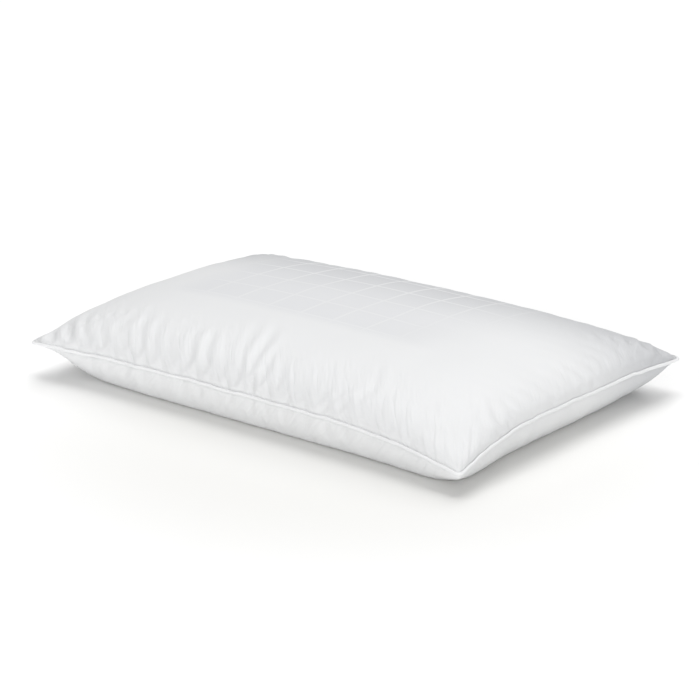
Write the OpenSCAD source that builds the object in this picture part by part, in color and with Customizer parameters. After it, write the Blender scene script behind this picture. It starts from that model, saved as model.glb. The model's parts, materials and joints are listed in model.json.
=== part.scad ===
// Filled bed pillow: two woven panels, a piped knife-edge seam, loose fill and a sewn-in care label.
// Lengths are millimetres. The origin is the middle of the footprint, on the floor.
// X runs along the long side, Y along the short side and Z up.

/* [Size] */
// Length of the filled pillow, from piping to piping at the corner tips
filled_length = 732; // [600:1:950]
// Width of the filled pillow, from piping to piping at the corner tips
filled_width = 494; // [440:1:560]
// How far the middle of each long side is drawn in by the fill
long_side_pull = 13; // [0:1:25]
// How far the middle of each short side is drawn in by the fill
short_side_pull = 11; // [0:1:25]
// How far each corner tip is cut back by its rounding
corner_ease = 4; // [1:0.5:5]

/* [Loft] */
// Height of the seam above the floor, mid-way along a long side
long_seam_height = 45; // [40:1:55]
// Height of the seam above the floor, mid-way along a short side
short_seam_height = 51; // [45:1:60]
// Height of the seam at the front right corner
front_right_height = 28; // [20:1:45]
// Height of the seam at the front left corner
front_left_height = 38; // [20:1:45]
// Height of the seam at the two back corners
back_height = 38; // [20:1:45]
// Rise of the crown above the seam
crown_rise = 60; // [40:1:75]
// Depth of the unsupported underside below the seam; the floor flattens it
belly_depth = 84; // [75:1:95]
// How square the bulge is: 2 is round, higher is flatter with fuller edges
fullness = 3.4; // [2.6:0.1:4.5]
// How bluntly the bulge meets the seam: 0.5 is round, 1 is wedge-shaped
edge_roundness = 0.54; // [0.45:0.01:0.7]

/* [Cloth] */
// Thickness of the cover cloth
cloth = 0.6; // [0.4:0.1:0.8]
// Width of the seam allowance inside the cover
allowance = 10; // [8:0.5:12]

/* [Piping] */
// Outside diameter of the piping
piping_d = 4.4; // [4:0.1:5]
// Diameter of the cord inside it
cord_d = 2.9; // [2.2:0.1:2.9]

/* [Care label] */
// Width of the label along the seam
label_width = 40; // [25:1:50]
// Free length of the folded label
label_length = 32; // [20:1:34]
// Distance of the label's middle from the middle of the left side
label_y = 50; // [35:1:70]

/* [Hidden] */

cover_color = "white";
piping_color = "whitesmoke";
cord_color = "ivory";
thread_color = "gainsboro";
fill_color = "snow";
label_color = "lightgray";

// Half steps of the grid along X and Y, closer together towards the seam
steps_x = 12;
steps_y = 8;
side_power = 3;
ease_power = 40;
wrap_power = 0.25;
shave = 5;

// Layers of the seam, counted up and down from its middle plane
ply_gap = 0.1;
strip_ply = 0.5;
stacked = ply_gap + strip_ply;
upper_gap = stacked + ply_gap;
tail_ply = 0.3;
lower_gap = upper_gap + tail_ply + 2 * ply_gap;
fill_depth = 2.5 * cloth;
slot_depth = allowance + 3;

// The piping stands outside the cover's rim
piping_r = piping_d / 2;
piping_stand_off = 0.35;
piping_centre = -(piping_r + piping_stand_off);
piping_reach = piping_r - piping_centre;
// Share of the rounding by which the outline's furthest point falls short of a sharp tip
tip_loss = 0.615;
half_x = filled_length / 2 - piping_reach + tip_loss * corner_ease;
half_y = filled_width / 2 - piping_reach + tip_loss * corner_ease;
arc_steps = 8;

thread_r = 0.15;
stitch_inset = 1.2;
overlock_width = 3;
overlock_ply = 0.3;

// The opening that is closed last lies on the left side, in front of the label
closing_from = -190;
closing_to = 10;
closing_steps = 24;
closing_r = 0.18;
closing_drop = 1.5;
closing_inset = -0.4;
closing_sway = 0.08;

// The label hangs from the seam, just under the piping
label_ply = 0.28;
label_slit = 0.2;
label_thick = 2 * label_ply + label_slit;
label_clear = 0.35;
label_inset = -(label_thick / 2 + 0.3);
label_drop = piping_r + label_clear + label_thick / 2;
tail_steps = 6;
tail_inset = -0.05;

function sign_power(t, n) = pow(abs(t), n);
function grade(i, n) = sin(90 * i / n);
function mix(p, q, t) = p + (q - p) * t;

// Height of the seam plane at u, v; each runs from -1 to 1 across the pillow
function corner_height(u, v) =
    mix(mix(front_left_height, front_right_height, (1 + u) / 2), back_height, (1 + v) / 2);
function side_height(u) = mix(long_seam_height, short_seam_height, sign_power(u, side_power));
function seam_height(u, v) =
    mix(side_height(u), corner_height(u, v), sign_power(u * v, side_power));

// Bulge of the panels: 0 at the seam and 1 at the crown
function bulge(u, v) =
    pow((1 - sign_power(u, fullness)) * (1 - sign_power(v, fullness)), edge_roundness);

// Place in plan of u, v, drawn in by inset from the cover's rim
function plan(u, v, inset) =
    let (ease = corner_ease * sign_power(u * v, ease_power))
    [
        u * (half_x - inset - short_side_pull * (1 - sign_power(v, side_power))) - sign(u) * ease,
        v * (half_y - inset - long_side_pull * (1 - sign_power(u, side_power))) - sign(v) * ease
    ];
function beside_seam(u, v, inset, rise) =
    let (p = plan(u, v, inset)) [p.x, p.y, seam_height(u, v) + rise];

// Place beside the left side's seam at a given Y, on the straight runs between its grid points
function beside_left(y, inset, rise) =
    let (run = [for (j = [-steps_y:steps_y]) beside_seam(-1, grade(j, steps_y), inset, rise)])
    [lookup(y, [for (p = run) [p.y, p.x]]), y, lookup(y, [for (p = run) [p.y, p.z]])];

// A layer of a panel turns through the seam fold, so its depth changes sign there
function wrap(f) = 2 * pow(f, wrap_power) - 1;
function upper_point(u, v, depth) =
    let (f = bulge(u, v))
    beside_seam(u, v, depth, upper_gap + (crown_rise - upper_gap) * f - depth * wrap(f));
function lower_point(u, v, depth, lowest) =
    let (f = bulge(u, v))
    let (p = beside_seam(u, v, depth, -lower_gap - (belly_depth - lower_gap) * f + depth * wrap(f)))
    [p.x, p.y, max(lowest, p.z)];

grid_uv = [for (j = [-steps_y:steps_y]) for (i = [-steps_x:steps_x])
    [grade(i, steps_x), grade(j, steps_y)]];
row = 2 * steps_x + 1;
grid_size = len(grid_uv);
function at(i, j) = (j + steps_y) * row + i + steps_x;

// Grid numbers of the points on the rim, anticlockwise from the front left corner
rim = concat(
    [for (i = [-steps_x:steps_x - 1]) at(i, -steps_y)],
    [for (j = [-steps_y:steps_y - 1]) at(steps_x, j)],
    [for (i = [steps_x:-1:1 - steps_x]) at(i, steps_y)],
    [for (j = [steps_y:-1:1 - steps_y]) at(-steps_x, j)]
);
rim_size = len(rim);
function rim_ring(inset, rise) =
    [for (k = rim) beside_seam(grid_uv[k].x, grid_uv[k].y, inset, rise)];

function quad(a, b, c, d) = [[a, b, c], [a, c, d]];
function flip(faces) = [for (f = faces) [f[2], f[1], f[0]]];
function flatten(lists) = [for (l = lists) each l];
function grid_faces(first) = flatten([for (j = [-steps_y:steps_y - 1]) for (i = [-steps_x:steps_x - 1])
    quad(first + at(i, j), first + at(i, j + 1), first + at(i + 1, j + 1), first + at(i + 1, j))]);
function band_faces(from, to) = flatten([for (k = [0:rim_size - 1])
    let (n = (k + 1) % rim_size) quad(from[k], from[n], to[n], to[k])]);

// Closed solid of two grids of points, joined at the rim by a chain of rings; the first is on top
module skins(top, rings, bottom) {
    ring_start = [for (r = [0:len(rings)]) grid_size + r * rim_size];
    bottom_start = ring_start[len(rings)];
    chain = concat(
        [rim],
        [for (r = [0:len(rings) - 1]) [for (k = [0:rim_size - 1]) ring_start[r] + k]],
        [[for (k = rim) bottom_start + k]]
    );
    polyhedron(
        concat(top, flatten(rings), bottom),
        concat(
            grid_faces(0),
            flatten([for (r = [0:len(chain) - 2]) band_faces(chain[r], chain[r + 1])]),
            flip(grid_faces(bottom_start))
        )
    );
}

// Closed hoop of one section of [inset, rise] points, swept along the whole seam
module seam_hoop(section) {
    count = len(section);
    polyhedron(
        flatten([for (k = rim) [for (p = section) beside_seam(grid_uv[k].x, grid_uv[k].y, p.x, p.y)]]),
        flatten([for (k = [0:rim_size - 1]) for (p = [0:count - 1])
            let (n = (k + 1) % rim_size, q = (p + 1) % count)
            quad(k * count + p, k * count + q, n * count + q, n * count + p)])
    );
}

// Closed strip of sections swept along the left side, through the given values of Y
module left_strip(sections, stations) {
    count = len(sections[0]);
    last = (len(stations) - 1) * count;
    polyhedron(
        flatten([for (k = [0:len(stations) - 1])
            [for (p = sections[k]) beside_left(stations[k], p.x, p.y)]]),
        concat(
            flatten([for (k = [0:len(stations) - 2]) for (p = [0:count - 1])
                let (q = (p + 1) % count)
                quad(k * count + p, (k + 1) * count + p, (k + 1) * count + q, k * count + q)]),
            [[for (p = [0:count - 1]) p]],
            [[for (p = [count - 1:-1:0]) last + p]]
        )
    );
}

function circle_section(inset, rise, r, sides) =
    [for (k = [0:sides - 1]) [inset + r * cos(360 * k / sides), rise + r * sin(360 * k / sides)]];
function arc_section(inset, r, from, to) =
    [for (k = [0:arc_steps])
        let (angle = mix(from, to, k / arc_steps)) [inset + r * cos(angle), r * sin(angle)]];
function box_section(from, to, low, high) = [[to, low], [to, high], [from, high], [from, low]];

function stations(from, to, steps) = [for (k = [0:steps]) mix(from, to, k / steps)];

module upper_cover() {
    color(cover_color)
        skins(
            [for (g = grid_uv) upper_point(g.x, g.y, 0)],
            [rim_ring(allowance, upper_gap), rim_ring(allowance, upper_gap + cloth)],
            [for (g = grid_uv) upper_point(g.x, g.y, cloth)]
        );
}

module lower_cover() {
    color(cover_color)
        difference() {
            skins(
                [for (g = grid_uv) lower_point(g.x, g.y, cloth, cloth)],
                [rim_ring(allowance, -lower_gap - cloth), rim_ring(allowance, -lower_gap)],
                [for (g = grid_uv) lower_point(g.x, g.y, 0, -shave)]
            );
            translate([-filled_length, -filled_width, -2 * shave])
                cube([2 * filled_length, 2 * filled_width, 2 * shave]);
        }
}

module piping_casing() {
    bore_r = piping_r - strip_ply;
    neck = asin(stacked / piping_r);
    slit = asin(ply_gap / bore_r);
    color(piping_color)
        seam_hoop(concat(
            [[allowance, stacked]],
            arc_section(piping_centre, piping_r, neck, 360 - neck),
            [[allowance, -stacked], [allowance, -ply_gap]],
            arc_section(piping_centre, bore_r, 360 - slit, slit),
            [[allowance, ply_gap]]
        ));
}

module piping_cord() {
    color(cord_color) seam_hoop(circle_section(piping_centre, 0, cord_d / 2, 8));
}

module seam_thread(rise) {
    color(thread_color) seam_hoop(circle_section(stitch_inset, rise, thread_r, 4));
}

module seam_needle_thread() {
    seam_thread(upper_gap + cloth + ply_gap + thread_r);
}

module seam_bobbin_thread() {
    seam_thread(-(lower_gap + cloth + ply_gap + thread_r));
}

module overlock_thread() {
    top = upper_gap + cloth + ply_gap;
    bottom = -(lower_gap + cloth + ply_gap);
    inner = allowance - overlock_width;
    edge = allowance + ply_gap;
    color(thread_color)
        seam_hoop([
            [edge + overlock_ply, top + overlock_ply], [inner, top + overlock_ply], [inner, top],
            [edge, top], [edge, bottom], [inner, bottom], [inner, bottom - overlock_ply],
            [edge + overlock_ply, bottom - overlock_ply]
        ]);
}

module closing_thread() {
    color(thread_color)
        left_strip(
            [for (k = [0:closing_steps])
                circle_section(
                    closing_inset + closing_sway * (k % 2 == 0 ? 1 : -1), -closing_drop, closing_r, 6
                )],
            stations(closing_from, closing_to, closing_steps)
        );
}

module fill() {
    color(fill_color)
        skins(
            [for (g = grid_uv) upper_point(g.x, g.y, fill_depth)],
            [rim_ring(slot_depth, upper_gap + fill_depth), rim_ring(slot_depth, -lower_gap - fill_depth)],
            [for (g = grid_uv) lower_point(g.x, g.y, fill_depth, fill_depth)]
        );
}

// Upper end of the free label, where it leaves the seam
label_root = beside_left(label_y, label_inset, -label_drop);

module care_label() {
    color(label_color)
        translate(label_root)
            rotate([90, 0, 0])
                linear_extrude(height = label_width, center = true)
                    difference() {
                        translate([-label_thick / 2, -label_length]) square([label_thick, label_length]);
                        translate([-label_slit / 2, label_ply - label_length])
                            square([label_slit, label_length]);
                    }
}

module care_label_tail() {
    top = -(stacked + ply_gap);
    color(label_color)
        left_strip(
            [for (k = [0:tail_steps]) [
                [allowance, top], [tail_inset - tail_ply, top],
                [tail_inset - tail_ply, label_clear - label_drop],
                [tail_inset, label_clear - label_drop], [tail_inset, top - tail_ply],
                [allowance, top - tail_ply]
            ]],
            stations(label_y - label_width / 2, label_y + label_width / 2, tail_steps)
        );
}

upper_cover();
lower_cover();
piping_casing();
piping_cord();
seam_needle_thread();
seam_bobbin_thread();
overlock_thread();
closing_thread();
fill();
care_label();
care_label_tail();
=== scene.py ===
import json
import math

import bpy
import numpy as np
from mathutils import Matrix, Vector


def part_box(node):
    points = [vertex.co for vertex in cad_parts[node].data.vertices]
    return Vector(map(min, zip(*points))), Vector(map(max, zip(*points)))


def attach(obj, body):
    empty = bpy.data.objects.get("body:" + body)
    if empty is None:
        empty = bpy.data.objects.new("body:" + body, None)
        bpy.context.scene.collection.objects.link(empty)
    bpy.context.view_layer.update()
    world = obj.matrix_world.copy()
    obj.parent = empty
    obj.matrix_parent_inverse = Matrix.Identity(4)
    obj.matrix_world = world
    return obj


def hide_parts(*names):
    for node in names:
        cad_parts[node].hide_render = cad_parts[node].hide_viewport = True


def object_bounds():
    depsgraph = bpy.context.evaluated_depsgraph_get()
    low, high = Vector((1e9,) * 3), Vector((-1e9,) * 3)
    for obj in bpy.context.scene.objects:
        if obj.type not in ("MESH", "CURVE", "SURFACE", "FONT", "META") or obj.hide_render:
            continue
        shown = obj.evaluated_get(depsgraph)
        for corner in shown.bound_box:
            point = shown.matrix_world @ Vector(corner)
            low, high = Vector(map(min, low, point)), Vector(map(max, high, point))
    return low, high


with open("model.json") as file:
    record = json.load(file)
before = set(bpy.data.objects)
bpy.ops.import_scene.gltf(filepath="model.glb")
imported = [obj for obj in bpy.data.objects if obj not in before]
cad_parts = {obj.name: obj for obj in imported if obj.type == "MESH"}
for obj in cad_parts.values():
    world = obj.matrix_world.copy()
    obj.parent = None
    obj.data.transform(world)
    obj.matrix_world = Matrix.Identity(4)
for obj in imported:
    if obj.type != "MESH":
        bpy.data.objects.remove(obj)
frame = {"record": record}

# A filled bed pillow around its CAD frame. Lengths are metres. X runs along the long side, Y along
# the short side and Z up; the origin is the middle of the footprint, on the floor.
# The cover is settled as cloth on an elastic fill by the solver below. Every seam piece is swept
# along the same seam line as the cover's rim.

CAD_BOX = [list(corner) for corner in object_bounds()]
JOINTS = {joint["name"]: joint for joint in frame["record"]["behaviour"]["joints"]}
# The line that the label turns about runs through this place, on the left side's seam
LABEL_ROOT = JOINTS["label_flap"]["pos_m"]
MM = 0.001

# ---------------- driving sizes

# Gap between plies in the seam, so that no two touch
PLY_GAP = 0.1 * MM

# The piping stands just off the cover's rim
PIPING_R = 2.2 * MM
CORD_R = 1.45 * MM
STAND_OFF = 0.35 * MM
CENTRE_OUT = PIPING_R + STAND_OFF
PIPING_REACH = CENTRE_OUT + PIPING_R
# The panels hug the piping this far round before they leave it
HUG = math.radians(65)
HUG_R = PIPING_R + PLY_GAP
HUG_OUT = CENTRE_OUT - HUG_R * math.cos(HUG)
HUG_RISE = HUG_R * math.sin(HUG)

# How far a corner tip is cut back by its rounding, and the share of that at its outermost place
CORNER_EASE = 4 * MM
TIP_LOSS = 0.615
# How far the fill draws in the middle of the long and the short sides
LONG_PULL = 13 * MM
SHORT_PULL = 11 * MM

# Half of the filled pillow in plan, to the cover's rim
HALF_X = (CAD_BOX[1][0] - CAD_BOX[0][0]) / 2 - PIPING_REACH + TIP_LOSS * CORNER_EASE
HALF_Y = (CAD_BOX[1][1] - CAD_BOX[0][1]) / 2 - PIPING_REACH + TIP_LOSS * CORNER_EASE

# Height of the seam mid-way along the long and the short sides, and at the corners
LONG_SEAM_Z = 49 * MM
SHORT_SEAM_Z = 51 * MM
FRONT_RIGHT_Z = 28.5 * MM
LEFT_CORNER_Z = 44.5 * MM
BACK_RIGHT_Z = 46.5 * MM
# Rise of the crown above the seam, and depth of the underside below it, which the floor flattens
CROWN_RISE = CAD_BOX[1][2] - LONG_SEAM_Z
BELLY_DEPTH = 95 * MM
# How square the bulge is, and how bluntly it meets the seam
FULLNESS = 3.0
ROUNDNESS = 0.46

# Three corners end in a flat tab, and the front right one is full. A tab's reach in from its
# corner, half its thickness, and how sharply it ends
EAR_FRONT_LEFT = 50 * MM
EAR_BACK = 28 * MM
EAR_HALF = 1.6 * MM
EAR_EDGE = 2.6
# The underside is fuller by this share at the front right corner
FULL_CORNER = 0.34
FULL_REACH = 90 * MM
# The top is lower by this share at the back left corner, and fuller by this one at the left end
BACK_DROP = 0.45
LEFT_FILL = 0.42
# Height of the shallow lumps in the fill
LUMP = 0.7 * MM

# Thickness of the cover, the piping strip and the label's tail, and width of the seam allowance
CLOTH = 0.6 * MM
STRIP_PLY = 0.5 * MM
TAIL_PLY = 0.3 * MM
ALLOWANCE = 10 * MM
# From the middle of the seam out to the strip's far face and to the upper and the lower panel
STACKED = PLY_GAP + STRIP_PLY
UPPER_GAP = STACKED + PLY_GAP
LOWER_GAP = UPPER_GAP + TAIL_PLY + 2 * PLY_GAP
# The lockstitch threads, and how far they dip at each needle hole
SEAM_THREAD_R = 0.15 * MM
NEEDLE_DIP = 0.4 * MM

# How far the fill lies inside the cover, and how deep the slot for the seam allowance is
FILL_DEPTH = 1.6 * MM
SLOT_DEPTH = ALLOWANCE + 3 * MM
# How far the fill stays back from a tabbed corner, and how far away that dies out
TUCK = 27 * MM
TUCK_REACH = 64 * MM

# Half of the cut panel, from the middle to the seam, and the cloth grid's steps along it
FLAT_HALF = (0.372, 0.2545)
GRID_X = 200
GRID_Y = 134

# How far the seam wanders sideways and up; it is straight this far to each side of the label
SEAM_SWAY = 0.55 * MM
SEAM_LIFT = 0.7 * MM
LABEL_CALM = 50 * MM


# ---------------- the pillow's form

def mix(a, b, t):
    return a + (b - a) * t


def bell(t, width):
    return np.exp(-(t / width) ** 2)


def ears(u, v):
    """1 in the flat tab at a corner and 0 away from it and at the front right corner."""
    off = np.hypot((1 - abs(u)) * HALF_X, (1 - abs(v)) * HALF_Y)
    right, back = (1 + u) / 2, (1 + v) / 2
    reach = mix(EAR_FRONT_LEFT, EAR_BACK, back)
    return np.exp(-(off / reach) ** EAR_EDGE) * (1 - (right * (1 - back)) ** 2).clip(0)


def bulge(u, v):
    """0 at the seam and in the corner tabs, and 1 at the crown."""
    span = (1 - abs(u) ** FULLNESS).clip(0) * (1 - abs(v) ** FULLNESS).clip(0)
    return span ** ROUNDNESS * (1 - ears(u, v))


def ripple(u, v, seed, count=7, slowest=6.0, fastest=26.0):
    """A smooth random wave over the pillow, mostly within -1 to 1: a seeded sum of sines."""
    draw = np.random.default_rng(seed)
    total = 0
    for _ in range(count):
        angle = draw.uniform(0, math.pi)
        pace = draw.uniform(slowest, fastest)
        shift = draw.uniform(0, 2 * math.pi)
        across = np.cos(angle) * u * HALF_X + np.sin(angle) * v * HALF_Y
        total = total + np.sin(pace * across / HALF_Y + shift)
    return total / math.sqrt(count)


def seam_height(u, v):
    """Height of the seam plane at u, v, each from -1 to 1 across the pillow."""
    front = mix(LEFT_CORNER_Z, FRONT_RIGHT_Z, (1 + u) / 2)
    back = mix(LEFT_CORNER_Z, BACK_RIGHT_Z, (1 + u) / 2)
    corner = mix(front, back, (1 + v) / 2)
    side = mix(LONG_SEAM_Z, SHORT_SEAM_Z, abs(u) ** 3)
    return mix(side, corner, abs(u * v) ** 3)


def seam_wave(u, v):
    """How far the sewn seam wanders up and sideways, none of it at the crown or the label."""
    off_label = v * HALF_Y - LABEL_ROOT[1]
    by_label = bell(off_label, LABEL_CALM) * ((1 - u) / 2) ** 4
    near = (1 - bulge(u, v)) * (1 - by_label)
    # Each is a slow wave with a finer one on it, each wave with a seed of its own
    lift = ripple(u, v, 5) + 0.5 * ripple(u, v, 15, slowest=30, fastest=60)
    sway = ripple(u, v, 6) + 0.4 * ripple(u, v, 16, slowest=30, fastest=60)
    return near * SEAM_LIFT * lift, near * SEAM_SWAY * sway


def plan(u, v, inset=0.0):
    """Place in plan, drawn in by inset from the cover's rim. The sides bow in between the tips."""
    ease = CORNER_EASE * abs(u * v) ** 40
    inset = inset + seam_wave(u, v)[1]
    x = u * (HALF_X - inset - SHORT_PULL * (1 - abs(v) ** 3)) - np.sign(u) * ease
    y = v * (HALF_Y - inset - LONG_PULL * (1 - abs(u) ** 3)) - np.sign(v) * ease
    return x, y


def even_steps(half, rise, t):
    """Values of u that are evenly spaced along the arc from side to side."""
    u = np.sin(np.linspace(0, math.pi / 2, 2001))
    z = rise * (1 - u ** FULLNESS).clip(0) ** ROUNDNESS
    arc = np.concatenate([[0], np.cumsum(np.hypot(np.diff(u * half), np.diff(z)))])
    return np.sign(t) * np.interp(abs(t) * arc[-1], arc, u)


def cloth_grid():
    """Even steps over the flat panel, from -1 to 1 along X and along Y."""
    return np.meshgrid(
        np.linspace(-1, 1, GRID_X + 1), np.linspace(-1, 1, GRID_Y + 1), indexing="ij"
    )


def over_pillow(s, t):
    """u, v of a place on the cloth, so that the cloth is evenly spread over the form."""
    u = mix(even_steps(HALF_X - SHORT_PULL, CROWN_RISE, s), s, abs(t) ** 6)
    v = mix(even_steps(HALF_Y - LONG_PULL, CROWN_RISE, t), t, abs(s) ** 6)
    return u, v


def stuffed_shape():
    """The filled cover before it settles: upper and lower grids of points, and their places."""
    s, t = cloth_grid()
    u, v = over_pillow(s, t)
    x, y = plan(u, v, -HUG_OUT)
    level = seam_height(u, v) + seam_wave(u, v)[0]
    rise = bulge(u, v)
    lumps = LUMP * rise * ripple(u, v, 8, count=12, slowest=3, fastest=13)
    inside = np.minimum(1 - abs(s), 1 - abs(t)) * GRID_Y / 2
    tab = EAR_HALF * ears(u, v) * inside.clip(0, 1)
    leftward = ((1 - u) / 2) ** 2
    crown = rise * (1 - BACK_DROP * leftward * ((1 + v) / 2) ** 2)
    crown = crown + LEFT_FILL * rise * (1 - rise) * leftward * (1 - v ** 2)
    top = level + HUG_RISE + tab + (CROWN_RISE - HUG_RISE) * crown + lumps
    off = np.hypot((1 - u) * HALF_X, (1 + v) * HALF_Y)
    belly = (BELLY_DEPTH - HUG_RISE) * (1 + FULL_CORNER * bell(off, FULL_REACH))
    bottom = np.maximum(0, level - HUG_RISE - tab - belly * rise)
    return np.stack([np.stack([x, y, top], -1), np.stack([x, y, bottom], -1)]), s, t


# ---------------- cloth settling on the fill

# Steps of the solver, passes over the threads in each, and its time step squared over the mass
STEPS = 300
PASSES = 2
STEP_GAIN = 3e-8
# The fill's push on the cloth and its stiffness, and the cloth's weight, all for each grid point
FILL_PRESS = 20.0
FILL_STIFF = 150000.0
CLOTH_WEIGHT = 3.0
# Shares of bending and of slanted stretch that each pass takes out, and of speed that a step loses
BEND = 0.012
SHEAR = 0.5
DRAG = 0.02
# How far the cloth starts off the form: at random all over, and inwards along each sewn crease
ROUGH_START = 0.4 * MM
CREASE_START = 12 * MM

# Share by which the seam gathers the cloth, and how far in from the seam it reaches
FINE_GATHER = 0.010
FINE_REACH = 20 * MM
LONG_GATHER = 0.005
LONG_REACH = 100 * MM
# The gathers come and go along a side: the fine ones from a least share up, the long ones from none
FINE_LEAST = 0.3
FINE_SPREAD = 1.4
LONG_SPREAD = 2.4
# The short sides are gathered less, and the fill under the cloth is firmer in some places
SHORT_SIDE_SHARE = 0.5
FIRMNESS_SPREAD = 0.8
# The gathers run in from the seam at a slant, and die out towards the full front right corner
SLANT = 0.7
CALM_SHARE = 0.75
CALM_REACH = 150 * MM

# Half width of a crease at a corner, and the share of all creases that the pressed lower panel has
CORNER_CREASE_HALF = 7 * MM
LOWER_SHARE = 0.35
# Creases sewn in at the seam: place along the side, reach in from it, half width, extra cloth, lean
FRONT_CREASES = (
    (0.002, 0.125, 0.007, 0.10, 0.55),
    (0.021, 0.080, 0.006, 0.07, 0.55),
    (-0.292, 0.070, 0.007, 0.04, 0.20),
    (-0.250, 0.105, 0.008, 0.05, 0.22),
    (-0.222, 0.060, 0.006, 0.04, 0.25),
    (-0.188, 0.100, 0.008, 0.05, 0.32),
    (-0.150, 0.060, 0.006, 0.04, 0.35),
    (-0.111, 0.110, 0.008, 0.06, 0.55),
    (-0.088, 0.050, 0.006, 0.04, 0.45),
    (-0.062, 0.085, 0.007, 0.05, 0.50),
    (-0.030, 0.050, 0.006, 0.04, 0.50),
    (0.046, 0.050, 0.006, 0.04, 0.55),
    (0.074, 0.075, 0.007, 0.05, 0.60),
    (0.108, 0.060, 0.006, 0.04, 0.60),
    (0.141, 0.050, 0.006, 0.03, 0.60),
    (0.246, 0.030, 0.006, 0.03, 0.10),
    (0.271, 0.026, 0.006, 0.03, 0.10),
)
RIGHT_CREASES = (
    (-0.136, 0.048, 0.007, 0.10, 0.95),
    (-0.152, 0.028, 0.005, 0.04, 0.50),
    (-0.114, 0.038, 0.006, 0.04, 0.60),
    (-0.024, 0.050, 0.007, 0.04, 1.20),
    (0.012, 0.045, 0.006, 0.04, 1.10),
    (0.052, 0.080, 0.008, 0.05, 1.10),
    (0.176, 0.055, 0.007, 0.05, 1.10),
)
# Creases that run in from a tabbed corner: corner, angle from the long side, reach, extra cloth
CORNER_CREASES = (
    ((-1, -1), 24, 0.080, 0.07),
    ((-1, -1), 40, 0.100, 0.09),
    ((-1, -1), 57, 0.070, 0.07),
    ((1, 1), 30, 0.080, 0.08),
    ((1, 1), 48, 0.090, 0.08),
    ((-1, 1), 35, 0.090, 0.08),
    ((-1, 1), 52, 0.070, 0.06),
)


def unit(a):
    return a / np.maximum(np.sqrt((a * a).sum(-1, keepdims=True)), 1e-12)


def gap(a, b):
    return np.sqrt(((a - b) ** 2).sum(-1))


def outward(points):
    """Outward normals of the upper and lower grids."""
    normal = unit(np.cross(np.gradient(points, axis=1), np.gradient(points, axis=2)))
    normal[1] *= -1
    return normal


def patchy(t, seed, slowest, fastest, count=9):
    """A smooth random wave along a side that lingers near its least, 0, and its most, 1."""
    draw = np.random.default_rng(seed)
    shift = draw.uniform(0, 2 * math.pi, count)
    pace = draw.uniform(slowest, fastest, count)
    total = sum(np.sin(math.pi * f * t + p) for f, p in zip(pace, shift))
    return 0.5 + 0.5 * np.tanh(1.5 * total / math.sqrt(count))


def gathers(u, v):
    """Extra cloth that the seam gathers, and distance in from the side, each along X and Y."""
    in_x = (1 - abs(u)) * FLAT_HALF[0]
    in_y = (1 - abs(v)) * FLAT_HALF[1]
    to_full = np.hypot((1 - u) * FLAT_HALF[0], (1 + v) * FLAT_HALF[1])
    calm = 1 - CALM_SHARE * bell(to_full, CALM_REACH)
    # Place along the side, which of the two sides, distance in, seed, fine and slow pace, share
    sides = (
        (u, v, in_y, 11, 16, 11, 1),
        (v, u, in_x, 21, 12, 8, SHORT_SIDE_SHARE),
    )
    extra = []
    for place, off, reach, seed, fine, slow, share in sides:
        layers = []
        for layer in (0, 1):
            t = place + 2 * layer + 5 * (off > 0)
            near = FINE_GATHER * np.exp(-reach / FINE_REACH)
            near = near * (FINE_LEAST + FINE_SPREAD * patchy(t, seed + layer, 2, fine))
            far = LONG_GATHER * np.exp(-reach / LONG_REACH)
            far = far * LONG_SPREAD * patchy(t, seed + 20 + layer, 4, slow) ** 1.5
            layers.append((near + far) * (1 - abs(place) ** 12) * calm * share)
        extra.append(np.stack(layers))
    return extra[0], extra[1], in_x, in_y


def sewn_creases(points, in_x, in_y, u, v):
    """Extra cloth along X and along Y for the creases that run in from the seam."""
    x, y = points[0, ..., 0], points[0, ..., 1]
    front, right = np.zeros_like(x), np.zeros_like(x)
    for place, reach, width, amount, lean in FRONT_CREASES:
        front += bell(x - place + lean * in_y, width) * bell(in_y, reach) * (v < 0) * amount
    for place, reach, width, amount, lean in RIGHT_CREASES:
        right += bell(y - place - lean * in_x, width) * bell(in_x, reach) * (u > 0) * amount
    along_x, along_y = front, right
    for (side_x, side_y), angle, reach, amount in CORNER_CREASES:
        turn = math.radians(angle)
        from_x = HALF_X - side_x * x
        from_y = HALF_Y - side_y * y
        along = from_x * math.cos(turn) + from_y * math.sin(turn)
        across = from_x * math.sin(turn) - from_y * math.cos(turn)
        shape = bell(across, CORNER_CREASE_HALF) * bell(along - 0.5 * reach, 0.6 * reach) * amount
        along_x = along_x + shape * math.sin(turn)
        along_y = along_y + shape * math.cos(turn)
    share = np.array([1, LOWER_SHARE])[:, None, None]
    return along_x * share, along_y * share


def pull(points, a, b, rest, stiff):
    """Moves the ends of each thread towards its rest length."""
    span = points[b] - points[a]
    length = np.sqrt((span * span).sum(-1))
    span *= (0.5 * stiff * (1 - rest / np.maximum(length, 1e-9)))[..., None]
    points[a] += span
    points[b] -= span


def every_other(count, odd):
    """Both ends of every other thread in a row of count threads."""
    return slice(odd, count, 2), slice(odd + 1, count + 1, 2)


def thread_sets(rest_x, rest_y, rest_a, rest_b):
    """Every set of threads that share no end: (ends, other ends, rest lengths, stiffness)."""
    every = slice(None)
    low_y, high_y = slice(0, GRID_Y), slice(1, GRID_Y + 1)
    sets = []
    for odd in (0, 1):
        near, far = every_other(GRID_X, odd)
        sets.append(((every, near), (every, far), rest_x[:, odd::2], 1.0))
    for odd in (0, 1):
        near, far = every_other(GRID_Y, odd)
        sets.append(((every, every, near), (every, every, far), rest_y[:, :, odd::2], 1.0))
    for odd in (0, 1):
        near, far = every_other(GRID_X, odd)
        sets.append(((every, near, low_y), (every, far, high_y), rest_a[:, odd::2], SHEAR))
        sets.append(((every, far, low_y), (every, near, high_y), rest_b[:, odd::2], SHEAR))
    return sets


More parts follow.
